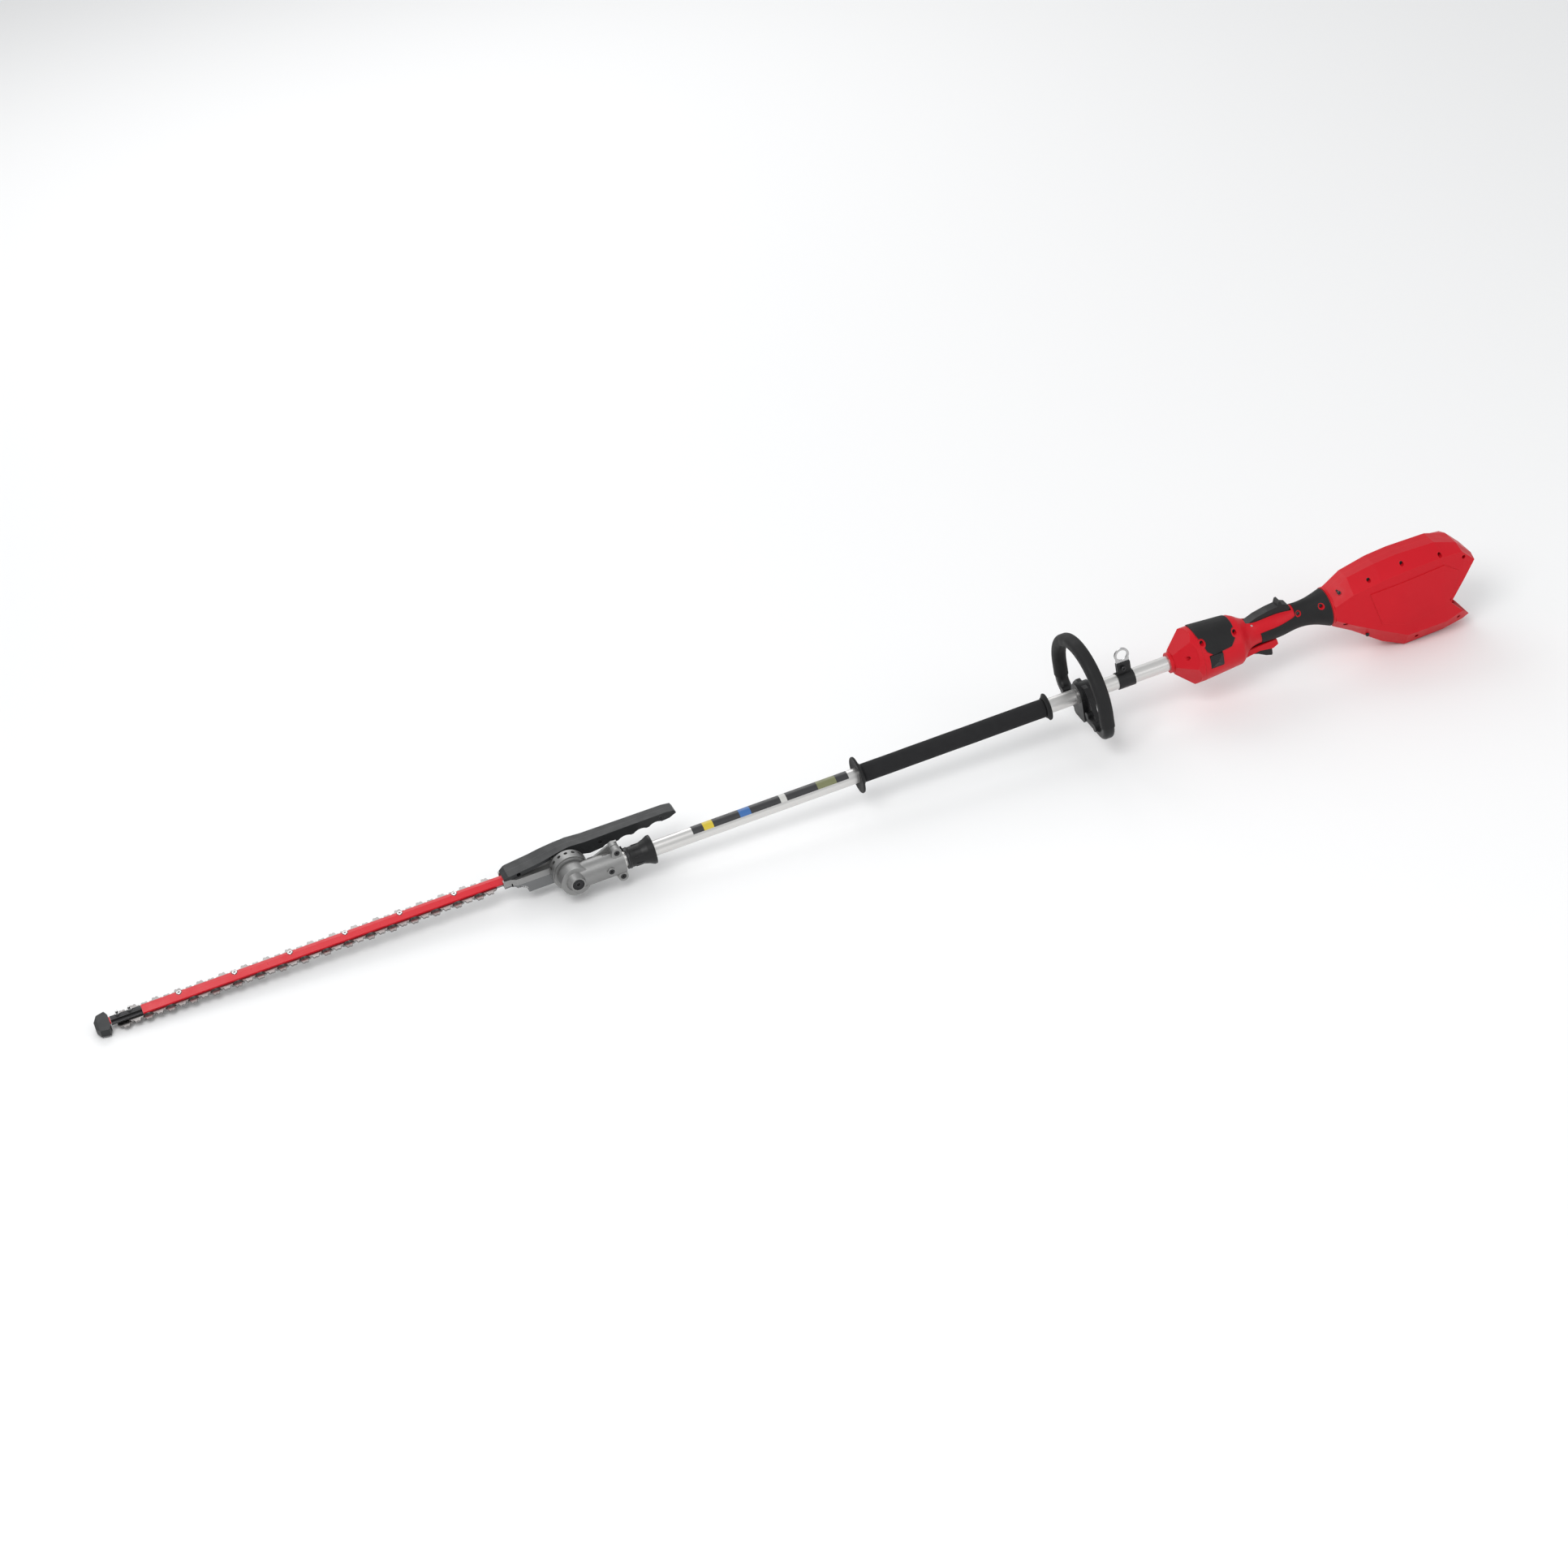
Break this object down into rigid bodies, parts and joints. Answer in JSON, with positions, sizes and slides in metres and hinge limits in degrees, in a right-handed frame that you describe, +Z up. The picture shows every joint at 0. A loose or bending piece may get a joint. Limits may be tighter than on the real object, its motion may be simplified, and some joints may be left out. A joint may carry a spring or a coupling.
{
  "type": "pole hedge trimmer",
  "caption": "Battery pole hedge trimmer: articulating double-sided cutter head on a straight pole with foam grip, loop handle, harness eye and rear motor and battery housing.",
  "frame": {"origin": "centre of the harness eye, above the pole axis", "axes": "+X along the pole from the cutter to the battery end, +Z up, +Y to the side on which the cutter hangs"},
  "size_m": [2.3795, 0.205, 0.2145],
  "materials": {
    "red_plastic": "moulded, fine spark texture",
    "black_rubber": "overmoulded, matt",
    "black_plastic": "glass-filled nylon",
    "grey_plastic": "dark grey moulded",
    "bar_red": "red powder coat",
    "pole_aluminium": "satin anodised",
    "cast_housing": "die-cast, blasted",
    "case_paint": "grey paint",
    "case_cast": "die-cast, blasted",
    "blade_steel": "ground",
    "dark_steel": "blackened",
    "bright_steel": "zinc plated",
    "foam": "closed-cell foam",
    "decal": "printed film",
    "board": "fibreglass board",
    "winding": "laminations and enamelled copper"
  },
  "bodies": {
    "pole": {"shaft_bushes": "black_plastic", "shaft_housing": "cast_housing", "pivot_bolt": "dark_steel", "pole_screws": "dark_steel", "lock_spring": "bright_steel", "spring_stop": "dark_steel", "pole_tube": "pole_aluminium", "label": "decal", "foam_grip": "foam", "grip_flanges": "black_rubber", "d_handle_overmould": "black_rubber", "d_handle_core": "black_plastic", "d_handle_clamp": "black_plastic", "harness_band": "black_plastic", "harness_eye": "bright_steel", "nose_cap": "red_plastic", "motor_shell_near": "red_plastic", "motor_shell_far": "red_plastic", "overmould_pads": "black_rubber", "battery_shell_near": "red_plastic", "battery_shell_far": "red_plastic", "side_panels": "red_plastic", "battery_terminal_block": "black_plastic", "housing_screws": "dark_steel", "motor_stator": "winding", "motor_bearings": "bright_steel", "control_board": "board", "switch_module": "black_plastic", "control_pins": "bright_steel"},
    "head": {"support_bar": "bar_red", "bar_nose": "dark_steel", "tip_studs": "bright_steel", "tip_guard": "grey_plastic", "tip_spacer": "red_plastic", "bar_screws": "bright_steel", "blade_guides": "bright_steel", "blade_nuts": "bright_steel", "gear_case_upper": "case_cast", "gear_case_lower": "case_paint", "case_screws": "dark_steel", "detent_drum": "cast_housing", "handle_near": "grey_plastic", "handle_far": "grey_plastic", "handle_screws": "dark_steel", "head_bearings": "bright_steel"},
    "upper_blade": {"upper_blade": "blade_steel"},
    "lower_blade": {"lower_blade": "blade_steel"},
    "drive_line": {"drive_shaft": "bright_steel", "shaft_coupler": "dark_steel", "motor_rotor": "dark_steel", "motor_fan": "black_plastic"},
    "hinge_shaft": {"hinge_shaft": "bright_steel"},
    "input_shaft": {"input_shaft": "bright_steel"},
    "idler_gear": {"idler_gear": "bright_steel"},
    "crank_gear": {"crank_gear": "bright_steel"},
    "lock_collar": {"lock_collar": "black_plastic", "lock_plunger": "dark_steel"},
    "power_button": {"power_button": "black_plastic"},
    "lock_off_lever": {"lock_off_lever": "black_plastic"},
    "trigger": {"trigger": "black_plastic"}
  },
  "joints": [
    {"name": "head_tilt", "type": "hinge", "parent": "pole", "child": "head", "pos_m": [-0.967, 0.022, -0.047], "axis": [0, 1, 0], "range_deg": [-90, 180]},
    {"name": "blade_stroke", "type": "slide", "parent": "head", "child": "upper_blade", "axis": [1, 0, 0], "range_m": [-0.007, 0.007]},
    {"name": "lower_blade_stroke", "type": "slide", "parent": "head", "child": "lower_blade", "axis": [1, 0, 0], "range_m": [-0.007, 0.007]},
    {"name": "motor_spin", "type": "hinge", "parent": "pole", "child": "drive_line", "pos_m": [0, 0, -0.047], "axis": [1, 0, 0], "continuous": true},
    {"name": "hinge_shaft_spin", "type": "hinge", "parent": "pole", "child": "hinge_shaft", "pos_m": [-0.967, 0, -0.047], "axis": [0, 1, 0], "continuous": true},
    {"name": "input_shaft_spin", "type": "hinge", "parent": "head", "child": "input_shaft", "pos_m": [-0.984, 0.057, -0.047], "axis": [1, 0, 0], "continuous": true},
    {"name": "idler_spin", "type": "hinge", "parent": "head", "child": "idler_gear", "pos_m": [-1, 0.057, -0.057], "axis": [0, 0, 1], "continuous": true},
    {"name": "crank_spin", "type": "hinge", "parent": "head", "child": "crank_gear", "pos_m": [-1.0284, 0.057, -0.055], "axis": [0, 0, 1], "continuous": true},
    {"name": "lock_pull", "type": "slide", "parent": "pole", "child": "lock_collar", "axis": [1, 0, 0], "range_m": [-0.004, 0]},
    {"name": "power_button_press", "type": "slide", "parent": "pole", "child": "power_button", "axis": [0, 1, 0], "range_m": [0, 0.002], "stiffness_N_per_m": 1200, "springref_m": -0.0015},
    {"name": "lock_off_press", "type": "hinge", "parent": "pole", "child": "lock_off_lever", "pos_m": [0.228, 0, -0.025], "axis": [0, 1, 0], "range_deg": [0, 6], "stiffness_Nm_per_rad": 1.2, "springref_deg": -14.32},
    {"name": "trigger_pull", "type": "hinge", "parent": "pole", "child": "trigger", "pos_m": [0.216, 0, -0.071], "axis": [0, -1, 0], "range_deg": [0, 7], "stiffness_Nm_per_rad": 1.5, "springref_deg": -14.32}
  ],
  "couplings": [
    {"joint": "lower_blade_stroke", "follows": "blade_stroke", "ratio": -1},
    {"joint": "hinge_shaft_spin", "follows": "motor_spin", "ratio": 1},
    {"joint": "input_shaft_spin", "follows": "motor_spin", "ratio": -1},
    {"joint": "idler_spin", "follows": "motor_spin", "ratio": -1},
    {"joint": "crank_spin", "follows": "motor_spin", "ratio": 0.4}
  ]
}
